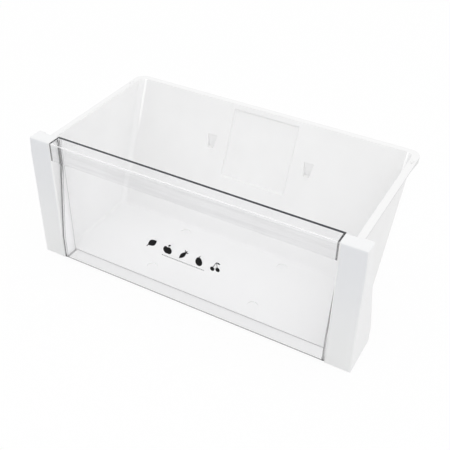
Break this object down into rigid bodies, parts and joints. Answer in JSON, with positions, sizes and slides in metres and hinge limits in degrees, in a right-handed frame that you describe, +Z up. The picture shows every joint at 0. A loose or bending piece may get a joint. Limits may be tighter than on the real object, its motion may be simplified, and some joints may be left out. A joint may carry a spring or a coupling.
{
  "type": "refrigerator crisper drawer",
  "caption": "Wide shallow crisper drawer: opal bin with a slanted back and flat rim, clear leaning front with a hanging grip lip, and white end caps that deepen towards the foot.",
  "frame": {"origin": "middle of the drawer's outline, on the surface that its feet stand on", "axes": "+X along the width to the right end cap, -Y out of the clear front, +Z up out of the bin's mouth"},
  "size_m": [0.462, 0.232, 0.187],
  "materials": {
    "opal_bin": "satin opal moulding",
    "clear_front": "polished clear moulding",
    "white_cap": "semi-gloss white moulding"
  },
  "bodies": {
    "root": {"bin": "opal_bin", "front_panel": "clear_front", "left_end_cap": "white_cap", "right_end_cap": "white_cap"}
  },
  "joints": []
}
